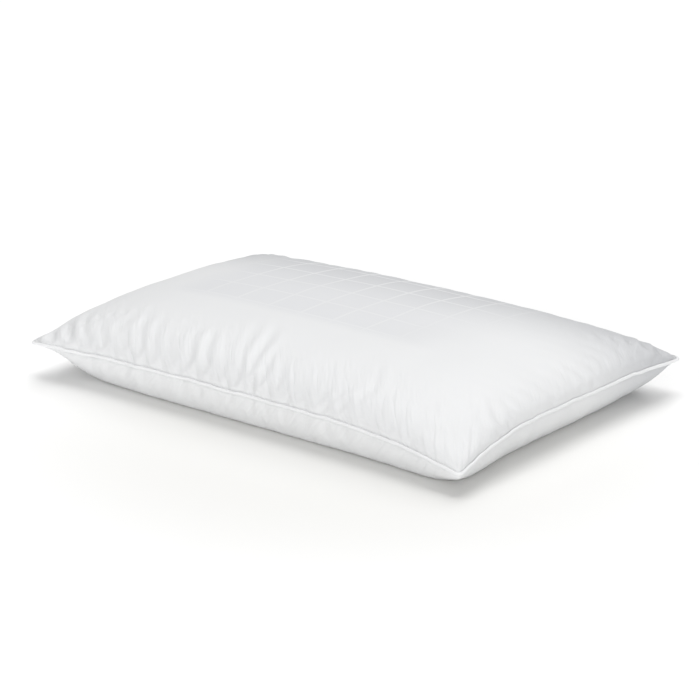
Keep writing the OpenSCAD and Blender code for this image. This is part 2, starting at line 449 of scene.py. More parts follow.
def thread_lengths(points):
    """Lengths of the threads along X and of those along Y."""
    return gap(points[:, 1:], points[:, :-1]), gap(points[:, :, 1:], points[:, :, :-1])


def stiffen(points):
    """Cloth resists bending: each point moves towards the line between its neighbours."""
    for axis in (1, 2):
        p = points if axis == 1 else points.swapaxes(1, 2)
        turn = 0.25 * BEND * (p[:, :-2] - 2 * p[:, 1:-1] + p[:, 2:])
        p[:, 1:-1] += 2 * turn
        p[:, :-2] -= turn
        p[:, 2:] -= turn


def settle():
    """Lets both panels settle on the fill, held at the seam and kept above the floor."""
    start, s, t = stuffed_shape()
    face = outward(start)
    extra_x, extra_y, in_x, in_y = gathers(s, t)
    sewn_x, sewn_y = sewn_creases(start, in_x, in_y, s, t)
    depth = sewn_x + sewn_y
    extra_x, extra_y = extra_x + sewn_x, extra_y + sewn_y
    wide, tall = thread_lengths(start)
    both = 0.25 * (extra_x + extra_y)
    both = both[:, 1:, 1:] + both[:, :-1, :-1]
    # Slanted gathers: one diagonal takes up more of the extra cloth than the other
    threads = thread_sets(
        wide * (1 + 0.5 * (extra_x[:, 1:] + extra_x[:, :-1])),
        tall * (1 + 0.5 * (extra_y[:, :, 1:] + extra_y[:, :, :-1])),
        gap(start[:, 1:, 1:], start[:, :-1, :-1]) * (1 + (1 + SLANT) * both),
        gap(start[:, 1:, :-1], start[:, :-1, 1:]) * (1 + (1 - SLANT) * both),
    )
    firm = FILL_STIFF * np.exp(FIRMNESS_SPREAD * ripple(s, t, 31, count=16, slowest=5, fastest=22))
    # A random start, smoothed twice
    rough = np.random.default_rng(3).normal(size=start.shape[:3])
    for _ in range(2):
        rough[:, 1:-1, 1:-1] = (
            2 * rough[:, 1:-1, 1:-1] + rough[:, 2:, 1:-1] + rough[:, :-2, 1:-1]
            + rough[:, 1:-1, 2:] + rough[:, 1:-1, :-2]
        ) / 4
    points = start.copy()
    inner = (slice(None), slice(1, -1), slice(1, -1))
    points[inner] += ((ROUGH_START * rough - CREASE_START * depth)[..., None] * face)[inner]
    speed = np.zeros_like(points)
    for _ in range(STEPS):
        off = ((points - start) * face).sum(-1)
        force = face * (FILL_PRESS - firm * off)[..., None]
        force[..., 2] -= CLOTH_WEIGHT
        before = points.copy()
        points += speed * (1 - DRAG) + STEP_GAIN * force
        for _ in range(PASSES):
            for a, b, rest, stiff in threads:
                pull(points, a, b, rest, stiff)
            stiffen(points)
            points[:, [0, -1]] = start[:, [0, -1]]
            points[:, :, [0, -1]] = start[:, :, [0, -1]]
            points[..., 2] = np.maximum(points[..., 2], 0)
        speed = points - before
    return points, start


def flat_cut(start):
    """Where each grid point lies on the flat cloth, measured along its threads from the middle."""
    wide, tall = thread_lengths(start)
    x = np.concatenate([np.zeros_like(wide[:, :1]), np.cumsum(wide, 1)], 1)
    y = np.concatenate([np.zeros_like(tall[:, :, :1]), np.cumsum(tall, 2)], 2)
    x -= x[:, GRID_X // 2, None]
    y -= y[:, :, GRID_Y // 2, None]
    return np.stack([x, y], -1)


# ---------------- mesh helpers

def turn_outwards(mesh):
    """Turns the faces of a closed mesh over if they point inwards."""
    mesh.calc_loop_triangles()
    corners = np.empty(len(mesh.loop_triangles) * 3, int)
    mesh.loop_triangles.foreach_get("vertices", corners)
    place = np.empty(len(mesh.vertices) * 3)
    mesh.vertices.foreach_get("co", place)
    a, b, c = place.reshape(-1, 3)[corners.reshape(-1, 3)].swapaxes(0, 1)
    if (np.cross(a, b) * c).sum() < 0:
        mesh.flip_normals()


def add_object(name, data, towards=None):
    """Puts an object in the scene, with its +Z axis turned towards a direction if there is one."""
    obj = bpy.data.objects.new(name, data)
    if towards:
        obj.rotation_euler = towards.to_track_quat("Z", "Y").to_euler()
    bpy.context.scene.collection.objects.link(obj)
    return obj


def make_object(name, points, faces, uv=None, smooth=True, closed=True):
    """A mesh object from an array of points, a list of faces and one uv for each point."""
    mesh = bpy.data.meshes.new(name)
    mesh.from_pydata(np.asarray(points).tolist(), [], [list(map(int, f)) for f in faces])
    mesh.polygons.foreach_set("use_smooth", [smooth] * len(mesh.polygons))
    if uv is not None:
        layer = mesh.uv_layers.new(name="cloth")
        corner = np.empty(len(mesh.loops), int)
        mesh.loops.foreach_get("vertex_index", corner)
        layer.data.foreach_set("uv", np.asarray(uv)[corner].ravel())
    mesh.update()
    if closed:
        turn_outwards(mesh)
    return add_object(name, mesh)


def grid_faces(index):
    """Quads over a grid of point numbers, facing up."""
    quads = np.stack([index[:-1, :-1], index[1:, :-1], index[1:, 1:], index[:-1, 1:]], -1)
    return quads.reshape(-1, 4)


def rim_of(grid):
    """The border of a grid, anticlockwise from its first corner, without repeats."""
    return np.concatenate([grid[:-1, 0], grid[-1, :-1], grid[:0:-1, -1], grid[0, :0:-1]])


def bands(rings):
    """Quads between closed rings of point numbers, each with the next."""
    faces = []
    for low, high in zip(rings[:-1], rings[1:]):
        faces.append(np.stack([low, np.roll(low, -1), np.roll(high, -1), high], -1))
    return np.concatenate(faces)


def tube_faces(rings, sides, closed):
    """Quads of a tube whose points are numbered ring by ring, with caps where it is open."""
    index = np.arange(rings * sides).reshape(rings, sides)
    if closed:
        index = np.concatenate([index, index[:1]])
    around = np.roll(index, -1, axis=1)
    quads = np.stack([index[:-1], index[1:], around[1:], around[:-1]], -1).reshape(-1, 4)
    faces = [list(q) for q in quads]
    if not closed:
        faces += [list(index[0]), list(index[-1][::-1])]
    return faces


def steps_along(path, closed):
    """The step from the point before to the point after, at each point of a path."""
    step = np.roll(path, -1, 0) - np.roll(path, 1, 0)
    if not closed:
        step[0] = path[1] - path[0]
        step[-1] = path[-1] - path[-2]
    return step


def tube(path, radius, sides, closed, reference):
    """Points and faces of a round tube along a path; reference is a direction across the path."""
    ahead = unit(steps_along(path, closed))
    side = unit(reference - (reference * ahead).sum(-1, keepdims=True) * ahead)
    other = np.cross(ahead, side)
    turn = np.linspace(0, 2 * math.pi, sides, endpoint=False)
    radius = np.broadcast_to(np.asarray(radius, float), (len(path),))[:, None, None]
    points = path[:, None] + radius * (
        np.cos(turn)[None, :, None] * side[:, None] + np.sin(turn)[None, :, None] * other[:, None]
    )
    return points.reshape(-1, 3), tube_faces(len(path), sides, closed)


def join(parts):
    """One list of points and one of faces from several (points, faces)."""
    points, faces, first = [], [], 0
    for some, quads in parts:
        points.append(some)
        faces.extend([[first + i for i in f] for f in quads])
        first += len(some)
    return np.concatenate(points), faces


# ---------------- the seam line

def side_run(count):
    """Values from -1 up to 1 without the last, a little closer together at the ends."""
    s = np.linspace(-1, 1, count, endpoint=False)
    return mix(s, np.sin(math.pi / 2 * s), 0.6)


def seam_uv(step):
    """u, v all round the seam, anticlockwise from the front left corner, about step apart."""
    along_x = side_run(round(2 * HALF_X / step))
    along_y = side_run(round(2 * HALF_Y / step))
    u = np.concatenate([along_x, np.ones_like(along_y), -along_x, -np.ones_like(along_y)])
    v = np.concatenate([-np.ones_like(along_x), along_y, np.ones_like(along_x), -along_y])
    return u, v


class Seam:
    """The seam line all round, and places beside it."""

    def __init__(self, u, v, closed=True):
        self.u, self.v = u, v
        self.level = seam_height(u, v) + seam_wave(u, v)[0]
        x, y = plan(u, v)
        rim = np.stack([x, y, self.level], -1)
        along = unit(steps_along(rim, closed))
        self.out = unit(np.stack([along[:, 1], -along[:, 0], 0 * x], -1))
        self.run = np.concatenate([[0], np.cumsum(gap(rim[1:], rim[:-1]))])

    def beside(self, inset, rise):
        """Points at an inset from the rim and a rise above the seam; outside it, inset < 0."""
        inset = np.broadcast_to(inset, self.level.shape)
        x, y = plan(self.u, self.v, np.maximum(inset, 0))
        place = np.stack([x, y, self.level + rise], -1)
        return place - np.minimum(inset, 0)[:, None] * self.out

    def hoop(self, section):
        """Points, faces and uv of a section of (inset, rise) swept all round the seam."""
        rings = np.stack([self.beside(inset, rise) for inset, rise in section], 1)
        faces = tube_faces(len(rings), len(section), True)
        girth = np.cumsum([0] + [math.dist(a, b) for a, b in zip(section[:-1], section[1:])])
        uv = [(length, width) for length in self.run for width in girth]
        return rings.reshape(-1, 3), faces, uv


def left_seam(y_from, y_to, count):
    """A stretch of the left side's seam, between two values of Y."""
    sway = seam_wave(np.array([-1.0]), np.array([0.0]))[1][0]
    v = np.linspace(y_to, y_from, count) / (HALF_Y - sway)
    return Seam(np.full(count, -1.0), v, closed=False)


# ---------------- cover and fill

def shell(name, top, rings, bottom, flat):
    """A closed solid of two grids joined at the rim by a chain of rings; the first is on top."""
    size = top[..., 0].size
    index = np.arange(size).reshape(top.shape[:2])
    rim = rim_of(index)
    count = len(rim)
    ring_index = [size + r * count + np.arange(count) for r in range(len(rings))]
    under = index + size + len(rings) * count
    points = np.concatenate([top.reshape(-1, 3), *rings, bottom.reshape(-1, 3)])
    flat = flat.reshape(-1, 2)
    uv = np.concatenate([flat, *[flat[rim] for _ in rings], flat])
    # The chain runs outwards and down from the top grid's rim, so its quads are turned over
    chain = bands([rim, *ring_index, rim_of(under)])[:, ::-1]
    faces = np.concatenate([grid_faces(index), chain, grid_faces(under)[:, ::-1]])
    return make_object(name, points, faces, uv)


def inner_grid(points, face, depth, lowest):
    """The grid at a depth inside the settled cover."""
    inner = points - depth * face
    inner[..., 2] = np.maximum(inner[..., 2], lowest)
    return inner


def make_upper_panel(points, face, flat, seam):
    inner = inner_grid(points, face, CLOTH, -1)
    low, high = UPPER_GAP, UPPER_GAP + CLOTH
    rings = [seam.beside(inset, low) for inset in (0.0, ALLOWANCE)]
    rings += [seam.beside(inset, high) for inset in (ALLOWANCE, CLOTH)]
    return shell("upper_panel", points, rings, inner, flat)


def make_lower_panel(points, face, flat, seam):
    inner = inner_grid(points, face, CLOTH, CLOTH)
    low, high = -LOWER_GAP - CLOTH, -LOWER_GAP
    rings = [seam.beside(inset, low) for inset in (CLOTH, ALLOWANCE)]
    rings += [seam.beside(inset, high) for inset in (ALLOWANCE, 0.0)]
    return shell("lower_panel", inner, rings, points, flat)


def tucked(s, t):
    """The places of the fill's points on the cloth, drawn back out of the corner tabs."""
    s, t = s.copy(), t.copy()
    for side_x, side_y in ((-1, -1), (1, 1), (-1, 1)):
        off_x = (1 - side_x * s) * HALF_X
        off_y = (1 - side_y * t) * HALF_Y
        off = np.hypot(off_x, off_y)
        # A point right at the corner goes to the middle of the rounded end
        off_x, off_y = np.where(off < MM, 1, off_x), np.where(off < MM, 1, off_y)
        grow = (TUCK + off * (1 - TUCK / TUCK_REACH)) / np.hypot(off_x, off_y)
        near = off < TUCK_REACH
        s = np.where(near, side_x * (1 - off_x * grow / HALF_X), s)
        t = np.where(near, side_y * (1 - off_y * grow / HALF_Y), t)
    return s, t


def sample(grid, s, t):
    """Points of a grid at places between its own."""
    i = ((s + 1) / 2 * GRID_X).clip(0, GRID_X)
    j = ((t + 1) / 2 * GRID_Y).clip(0, GRID_Y)
    low_i, low_j = np.minimum(i.astype(int), GRID_X - 1), np.minimum(j.astype(int), GRID_Y - 1)
    a, b = (i - low_i)[..., None], (j - low_j)[..., None]
    near = mix(grid[low_i, low_j], grid[low_i, low_j + 1], b)
    far = mix(grid[low_i + 1, low_j], grid[low_i + 1, low_j + 1], b)
    return mix(near, far, a)


def make_fill(points, face, flat):
    """The fibre mass, just inside the cover, with a slot all round for the seam allowance."""
    s, t = tucked(*(place[::2, ::2] for place in cloth_grid()))
    top = sample(inner_grid(points[0], face[0], FILL_DEPTH, 0), s, t)
    bottom = sample(inner_grid(points[1], face[1], FILL_DEPTH, FILL_DEPTH), s, t)
    u, v = over_pillow(s, t)
    seam = Seam(rim_of(u), rim_of(v))
    rise = HUG_RISE + FILL_DEPTH
    index = np.arange(s.size).reshape(s.shape)
    for grid, height in ((top, rise), (bottom, -rise)):
        grid.reshape(-1, 3)[rim_of(index)] = seam.beside(FILL_DEPTH, height)
    rings = [seam.beside(SLOT_DEPTH, rise), seam.beside(SLOT_DEPTH, -rise)]
    return shell("fibre_fill", top, rings, bottom, flat[::2, ::2])


# ---------------- piping and threads

def arc(centre, radius, start, stop, steps):
    angles = np.radians(np.linspace(start, stop, steps + 1))
    return [(centre + radius * math.cos(a), radius * math.sin(a)) for a in angles]


def make_piping(seam):
    """The bias strip, folded round its cord, with both raw edges in the seam."""
    bore = PIPING_R - STRIP_PLY
    neck = math.degrees(math.asin(STACKED / PIPING_R))
    slit = math.degrees(math.asin(PLY_GAP / bore))
    section = [(ALLOWANCE, STACKED), *arc(-CENTRE_OUT, PIPING_R, neck, 360 - neck, 20)]
    section += [(ALLOWANCE, -STACKED), (ALLOWANCE, -PLY_GAP)]
    section += [*arc(-CENTRE_OUT, bore, 360 - slit, slit, 14), (ALLOWANCE, PLY_GAP)]
    points, faces, uv = seam.hoop(section)
    return make_object("piping", points, faces, uv)


def make_piping_cord(seam):
    """Three strands laid together."""
    strands, lay, sides = 3, 9 * MM, 15
    turn = np.linspace(0, 2 * math.pi, sides, endpoint=False)
    twist = 2 * math.pi * seam.run / lay
    radius = CORD_R * (0.94 + 0.06 * np.cos(strands * (turn[None] - twist[:, None])))
    middle = seam.beside(-CENTRE_OUT, 0)
    up = np.array([0, 0, 1.0])
    points = middle[:, None] + radius[..., None] * (
        np.cos(turn)[None, :, None] * seam.out[:, None] - np.sin(turn)[None, :, None] * up
    )
    faces = tube_faces(len(middle), sides, True)
    return make_object("piping_filler_cord", points.reshape(-1, 3), faces)


def make_seam_thread(name, rise, dip):
    """A lockstitch thread that dips into the cloth at each needle hole."""
    stitch, inset = 2.6 * MM, 1.2 * MM
    seam = Seam(*seam_uv(stitch / 4))
    path = seam.beside(inset, rise)
    path[:, 2] -= dip * (np.arange(len(path)) % 4 == 0)
    points, faces = tube(path, SEAM_THREAD_R, 5, True, seam.out)
    return make_object(name, points, faces)


def make_overlock():
    """Loops of thread that wrap the raw edges of the allowance."""
    radius = 0.14 * MM
    top = UPPER_GAP + CLOTH + PLY_GAP + radius
    bottom = -(LOWER_GAP + CLOTH + PLY_GAP + radius)
    inner, edge = ALLOWANCE - 3 * MM, ALLOWANCE + PLY_GAP + radius
    bevel = edge - 0.3 * MM
    corners = [
        (inner, bottom), (inner, top), (bevel, top), (edge, mix(top, bottom, 0.3)),
        (edge, mix(top, bottom, 0.7)), (bevel, bottom),
    ]
    seam = Seam(*seam_uv(0.5 * MM))
    number = np.arange(len(seam.run)) % len(corners)
    inset, rise = np.array(corners)[number].T
    used = len(seam.run) // len(corners) * len(corners)
    path = seam.beside(inset, rise)[:used]
    middle = seam.beside(mix(inner, edge, 0.5), mix(top, bottom, 0.5))[:used]
    points, faces = tube(path, radius, 4, True, path - middle)
    return make_object("overlock_stitch", points, faces)


def make_closing_stitch():
    """Slanted hand stitches that close the filling gap on the left side."""
    y_from, y_to, pitch = -190 * MM, 10 * MM, 5 * MM
    stitch, rings, sides = 0.62 * pitch, 7, 8
    count = round((y_to - y_from) / pitch)
    # Each stitch bows outwards, climbs a little, and narrows into its two holes
    bow = np.sin(np.linspace(0, math.pi, rings))
    inset = -0.3 * MM - 0.35 * MM * bow
    rise = -1.5 * MM + 0.25 * MM * np.linspace(-1, 1, rings)
    radius = 0.18 * MM * (0.55 + 0.45 * np.sqrt(bow))
    parts = []
    for n in range(count):
        start = y_from + n * pitch
        seam = left_seam(start, start + stitch, rings)
        parts.append(tube(seam.beside(inset, rise), radius, sides, False, seam.out))
    points, faces = join(parts)
    return make_object("closing_stitch", points, faces)


# ---------------- care label

# Thickness of each ply of the loop, and the gap between them
LABEL_PLY = 0.28 * MM
LABEL_SLIT = 0.2 * MM


def make_label(root):
    """A satin strip folded into a loop that hangs from the seam and curls out at its free end."""
    low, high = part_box("care_label")
    width, length = high[1] - low[1], high[2] - low[2]
    slit = LABEL_SLIT / 2
    half = slit + LABEL_PLY
    across, down = 24, 36
    straight = length - half
    ply = np.linspace(0, straight, down)
    fold = np.radians(np.linspace(180, 360, 9))[1:-1]
    # Down and up the outside of the loop, then down and up the inside
    section = [(-half, t) for t in ply]
    section += [(half * math.cos(a), straight - half * math.sin(a)) for a in fold]
    section += [(half, t) for t in ply[::-1]] + [(slit, t) for t in ply]
    section += [(slit * math.cos(a), straight - slit * math.sin(a)) for a in fold[::-1]]
    section += [(-slit, t) for t in ply[::-1]]
    points, uv = [], []
    for s in np.linspace(-1, 1, across + 1):
        for x, t in section:
            share = t / length
            # The free end curls outwards, most at its back corner, and swings a little
            curl = -(2.6 + 1.3 * s + 1.1 * s ** 2) * MM * share ** 2
            swing = 0.5 * MM * math.sin(2.2 * s + 3 * share) * share ** 2
            points.append((root[0] + x + curl + swing, root[1] + s * width / 2, root[2] - t))
            uv.append((s * width / 2, t))
    faces = tube_faces(across + 1, len(section), False)
    return make_object("label_loop", points, faces, uv), width, length


def make_label_tail(root, width):
    """The label's sewn end, held between the piping strip and the lower panel."""
    y_low, y_high = root[1] - width / 2, root[1] + width / 2
    seam = left_seam(y_low, y_high, 25)
    top = -(STACKED + PLY_GAP)
    inset = -0.05 * MM
    end = root[2] + 0.46 * MM - seam.level
    section = [
        (ALLOWANCE, top), (inset - TAIL_PLY, top), (inset - TAIL_PLY, end), (inset, end),
        (inset, top - TAIL_PLY), (ALLOWANCE, top - TAIL_PLY),
    ]
    rings = np.stack([seam.beside(i, r) for i, r in section], 1)
    faces = tube_faces(len(rings), len(section), False)
    return make_object("label_tail", rings.reshape(-1, 3), faces, smooth=False)


# ---------------- materials

def set_numbers(node, numbers):
    for name, number in numbers.items():
        node.inputs[name].default_value = number


def new_material(name, base, roughness, sheen=0.0, specular=0.5):
    material = bpy.data.materials.new(name)
    material.use_nodes = True
    shader = material.node_tree.nodes["Principled BSDF"]
    shader.inputs["Base Color"].default_value = (*base, 1)
    finish = {"Roughness": roughness, "Sheen Weight": sheen, "Specular IOR Level": specular}
    set_numbers(shader, finish)
    return material, material.node_tree, shader


def feed(tree, socket, value):
    """Gives a socket a number or a colour, or links another socket to it."""
    if isinstance(value, (int, float)):
        socket.default_value = value
    elif isinstance(value, tuple):
        socket.default_value = (*value, 1)
    else:
        tree.links.new(value, socket)


def math_node(tree, operation, *values):
    node = tree.nodes.new("ShaderNodeMath")
    node.operation = operation
    for socket, value in zip(node.inputs, values):
        feed(tree, socket, value)
    return node.outputs[0]


def ramp(tree, value, low, high, out_low, out_high):
    """Value from low to high, smoothly turned into out_low to out_high."""
    node = tree.nodes.new("ShaderNodeMapRange")
    node.interpolation_type = "SMOOTHSTEP"
    tree.links.new(value, node.inputs["Value"])
    set_numbers(node, {"From Min": low, "From Max": high, "To Min": out_low, "To Max": out_high})
    return node.outputs[0]


def noise(tree, vector, scale, detail, roughness=0.55):
    node = tree.nodes.new("ShaderNodeTexNoise")
    set_numbers(node, {"Scale": scale, "Detail": detail, "Roughness": roughness})
    tree.links.new(vector, node.inputs["Vector"])
    return node.outputs["Fac"]


def cloth_place(tree):
    """The place on the flat cloth, in metres, as a vector and as its two numbers."""
    node = tree.nodes.new("ShaderNodeUVMap")
    node.uv_map = "cloth"
    parts = tree.nodes.new("ShaderNodeSeparateXYZ")
    tree.links.new(node.outputs[0], parts.inputs[0])
    return node.outputs[0], parts.outputs[0], parts.outputs[1]


def blend_colours(tree, share, a, b):
    """A mix of two colours, or of a colour and another colour's socket."""
    node = tree.nodes.new("ShaderNodeMix")
    node.data_type = "RGBA"
    tree.links.new(share, node.inputs["Factor"])
    for socket, colour in zip(node.inputs[6:8], (a, b)):
        feed(tree, socket, colour)
    return node.outputs[2]


def paint(tree, shader, share, dark, light):
    """Gives a shader a colour between two, by a share."""
    tree.links.new(blend_colours(tree, share, dark, light), shader.inputs["Base Color"])


def bump(tree, shader, height, distance, strength):
    node = tree.nodes.new("ShaderNodeBump")
    set_numbers(node, {"Strength": strength, "Distance": distance})
    tree.links.new(height, node.inputs["Height"])
    tree.links.new(node.outputs[0], shader.inputs["Normal"])


def weave(tree, x, y, yarn):
    """Height of a plain weave whose yarns lie yarn apart, about 0 to 1."""
    warp = math_node(tree, "SINE", math_node(tree, "MULTIPLY", x, math.pi / yarn))
    weft = math_node(tree, "SINE", math_node(tree, "MULTIPLY", y, math.pi / yarn))
    crossing = math_node(tree, "MULTIPLY", warp, weft)
    return math_node(tree, "MULTIPLY_ADD", crossing, 0.5, 0.5)


# Spacing, width and first place of the stripes that make the windowpane, on the flat cloth
STRIPE_PITCH = 55.5 * MM
STRIPE_WIDTH = 3.9 * MM
STRIPE_START = (-0.2150, -0.0530)
STRIPE_SOFT = 0.5 * MM
# The painted shade, with the windowpane stripes showing on it, fades in and out between these places
# along Y and X, at the panel's back part
SHADED_PANE_FRONT = (-0.078, -0.046)
SHADED_PANE_LEFT = (-0.290, -0.225)
SHADED_PANE_RIGHT = (0.060, 0.230)
# Painted shade darkens the ground towards the far edge between these places along Y
FAR_SHADE_REACH = (0.02, 0.26)
GROUND = (0.728, 0.733, 0.739)
# Ground colour with painted shade, on the windowpane part at the back
BACK_PAINTED_SHADE = (0.682, 0.688, 0.702)
# Ground colour with the most painted shade, at the far edge
FAR_PAINTED_SHADE = (0.512, 0.519, 0.535)
STRIPE = (0.730, 0.735, 0.744)
PIPING_WHITE = (0.85, 0.853, 0.858)
# The stripes are duller than the sateen between them
SATEEN_ROUGHNESS = 0.6
STRIPE_ROUGHNESS = 0.95
# Spacing of the yarns and height of their relief
YARN = 0.35 * MM
RELIEF = 0.05 * MM
SLUB_SCALE = 900
# Noise scale of the fine creases, their stretch, reach in from the seam and depth
CRINKLE_SCALE = 55
CRINKLE_STRETCH = 0.22
CRINKLE_REACH = 0.17
CRINKLE_DEPTH = 0.85 * MM


def stripe_share(tree, x, y):
    """1 on a stripe and 0 between stripes, with a soft edge."""
    half = STRIPE_WIDTH / 2
    shares = []
    for place, start in zip((x, y), STRIPE_START):
        from_start = math_node(tree, "SUBTRACT", place, start)
        off = math_node(tree, "PINGPONG", from_start, STRIPE_PITCH / 2)
        shares.append(ramp(tree, off, half - STRIPE_SOFT, half + STRIPE_SOFT, 1, 0))
    return math_node(tree, "MAXIMUM", *shares)


def shaded_pane_share(tree, x, y):
    """1 on the part of the panel that has painted shade and shows the windowpane, and 0 elsewhere."""
    share = ramp(tree, y, *SHADED_PANE_FRONT, 0, 1)
    share = math_node(tree, "MULTIPLY", share, ramp(tree, x, *SHADED_PANE_LEFT, 0, 1))
    return math_node(tree, "MULTIPLY", share, ramp(tree, x, *SHADED_PANE_RIGHT, 1, 0))


def crinkle(tree, x, y):
    """Height of the fine creases that run in from the seam at a slant, about 0 to 1."""
    heights = []
    # Place along the side and across from it, half of the cloth across, seed, reach, strength
    long_side = (x, y, FLAT_HALF[1], 0.0, CRINKLE_REACH, 4)
    short_side = (y, x, FLAT_HALF[0], 7.0, 0.6 * CRINKLE_REACH, 1.8)
    for along, across, half, seed, reach, share in (long_side, short_side):
        slanted = math_node(tree, "MULTIPLY_ADD", across, SLANT, along)
        node = tree.nodes.new("ShaderNodeCombineXYZ")
        tree.links.new(slanted, node.inputs[0])
        tree.links.new(math_node(tree, "MULTIPLY", across, CRINKLE_STRETCH), node.inputs[1])
        node.inputs[2].default_value = seed
        wave = noise(tree, node.outputs[0], CRINKLE_SCALE, detail=2.5, roughness=0.5)
        fold = math_node(tree, "ABSOLUTE", math_node(tree, "SUBTRACT", wave, 0.5))
        inside = math_node(tree, "SUBTRACT", half, math_node(tree, "ABSOLUTE", across))
        near = ramp(tree, inside, 0.01, reach, share, 0)
        heights.append(math_node(tree, "MULTIPLY", fold, near))
    return math_node(tree, "ADD", *heights)


def cotton_material():
    """White sateen ground with painted shade towards the back, and a windowpane of duller plain-woven
    stripes there.
    """
    material, tree, shader = new_material("white_cotton", GROUND, SATEEN_ROUGHNESS)
    place, x, y = cloth_place(tree)
    shaded_pane = shaded_pane_share(tree, x, y)
    # The stripes show only on the part with painted shade
    stripe = math_node(tree, "MULTIPLY", stripe_share(tree, x, y), shaded_pane)
    slub = noise(tree, place, SLUB_SCALE, detail=2)
    mottle = noise(tree, place, 16, detail=4)
    # Painted shade on the windowpane part at the back
    colour = blend_colours(tree, shaded_pane, GROUND, BACK_PAINTED_SHADE)
    # More painted shade towards the far edge
    colour = blend_colours(tree, ramp(tree, y, *FAR_SHADE_REACH, 0, 1), colour, FAR_PAINTED_SHADE)
    colour = blend_colours(tree, stripe, colour, STRIPE)
    # Mottling and slubs each change the brightness by up to 2%
    shade = math_node(tree, "MULTIPLY_ADD", mottle, 0.02, 0.975)
    shade = math_node(tree, "MULTIPLY_ADD", slub, 0.02, shade)
    tint = tree.nodes.new("ShaderNodeVectorMath")
    tint.operation = "SCALE"
    tree.links.new(colour, tint.inputs[0])
    tree.links.new(shade, tint.inputs["Scale"])
    tree.links.new(tint.outputs[0], shader.inputs["Base Color"])
    roughness = ramp(tree, stripe, 0, 1, SATEEN_ROUGHNESS, STRIPE_ROUGHNESS)
    tree.links.new(roughness, shader.inputs["Roughness"])
    # Sateen floats lie flatter than the plain weave beside them
    depth = ramp(tree, stripe, 0, 1, 0.35, 1)
    height = math_node(tree, "MULTIPLY", weave(tree, x, y, YARN), depth)
    height = math_node(tree, "MULTIPLY_ADD", slub, 0.5, height)
    folds = crinkle(tree, x, y)
    height = math_node(tree, "MULTIPLY_ADD", folds, CRINKLE_DEPTH / RELIEF, height)
    bump(tree, shader, height, RELIEF, 1.0)
    return material


def piping_material():
    """The same cotton without stripes, cut on the bias."""
    material, tree, shader = new_material("bias_cotton", PIPING_WHITE, 0.75, sheen=0.15, specular=0.3)
    place, x, y = cloth_place(tree)
    along = math_node(tree, "ADD", x, y)
    across = math_node(tree, "SUBTRACT", x, y)
    slub = noise(tree, place, SLUB_SCALE, detail=2)
    paint(tree, shader, slub, STRIPE, PIPING_WHITE)
    height = weave(tree, along, across, YARN * math.sqrt(2))
    bump(tree, shader, math_node(tree, "MULTIPLY_ADD", slub, 0.5, height), RELIEF, 0.6)
    return material


def object_place(tree):
    return tree.nodes.new("ShaderNodeTexCoord").outputs["Object"]


def thread_material():
    """Spun polyester thread: fine fibres and a soft shine."""
    material, tree, shader = new_material("white_thread", (0.8, 0.8, 0.79), 0.5, sheen=0.1)
    fibre = noise(tree, object_place(tree), 4000, detail=2)
    paint(tree, shader, fibre, (0.72, 0.72, 0.71), (0.84, 0.84, 0.83))
    bump(tree, shader, fibre, 0.05 * MM, 0.6)
    return material


def cord_material():
    """Unbleached cotton filler cord with loose fibres."""
    material, tree, shader = new_material("cotton_cord", (0.78, 0.76, 0.7), 0.9, sheen=0.2)
    fibre = noise(tree, object_place(tree), 1500, detail=4)
    paint(tree, shader, fibre, (0.68, 0.66, 0.59), (0.82, 0.8, 0.74))
    bump(tree, shader, fibre, 0.15 * MM, 0.7)
    return material


def fill_material():
    """Crimped polyester fibre in soft clumps."""
    material, tree, shader = new_material("polyester_fibre", (0.85, 0.85, 0.85), 0.95, sheen=0.4)
    place = object_place(tree)
    clump = noise(tree, place, 40, detail=5, roughness=0.65)
    fibre = noise(tree, place, 700, detail=4, roughness=0.7)
    paint(tree, shader, clump, (0.78, 0.78, 0.78), (0.9, 0.9, 0.9))
    height = math_node(tree, "MULTIPLY_ADD", clump, 3.0, fibre)
    bump(tree, shader, height, 0.8 * MM, 0.8)
    return material


def satin_material():
    """Woven satin ribbon: fine ribs across and a clear shine."""
    material, tree, shader = new_material("label_satin", (0.84, 0.84, 0.84), 0.35, sheen=0.1)
    place, _, y = cloth_place(tree)
    rib = math_node(tree, "SINE", math_node(tree, "MULTIPLY", y, 2 * math.pi / (0.4 * MM)))
    slub = noise(tree, place, 1200, detail=2)
    paint(tree, shader, slub, (0.82, 0.82, 0.82), (0.87, 0.87, 0.87))
    bump(tree, shader, math_node(tree, "MULTIPLY_ADD", rib, 0.4, slub), 0.03 * MM, 0.5)
    return material


# ---------------- stage, light and camera

# The camera looks from this side and height at its target, through a long lens
CAMERA_AZIMUTH = math.radians(38.58)
CAMERA_ELEVATION = math.radians(19.29)
CAMERA_DISTANCE = 4.873
CAMERA_TARGET = Vector((-0.0854, 0.0999, 0.0))
CAMERA_LENS = 180.16


def direction(azimuth, elevation):
    """Unit vector towards the camera or a light; azimuth 0 is in front, on the side of -Y."""
    flat = math.cos(elevation)
    return Vector((math.sin(azimuth) * flat, -math.cos(azimuth) * flat, math.sin(elevation)))


def make_camera():
    back = direction(CAMERA_AZIMUTH, CAMERA_ELEVATION)
    data = bpy.data.cameras.new("camera")
    data.lens = CAMERA_LENS
    camera = add_object("camera", data, back)
    camera.location = CAMERA_TARGET + back * CAMERA_DISTANCE
    bpy.context.scene.camera = camera


# Strength of the white room, and how much brighter it is in front than at the sides
ROOM_LIGHT = 0.385
ROOM_FRONT = 0.30
ROOM_FRONT_ELEVATION = math.radians(8)
# Name, strength, azimuth, elevation and width across the sky, in degrees
SOFT_LIGHTS = (
    ("overhead", 1.45, 210, 70, 40),
    ("back", 0.85, 208, 38, 25),
    ("front_fill", 0.95, 38, 5, 30),
    ("left_fill", 0.70, 0, 7, 30),
    ("right_fill", 0.45, 80, 7, 30),
)


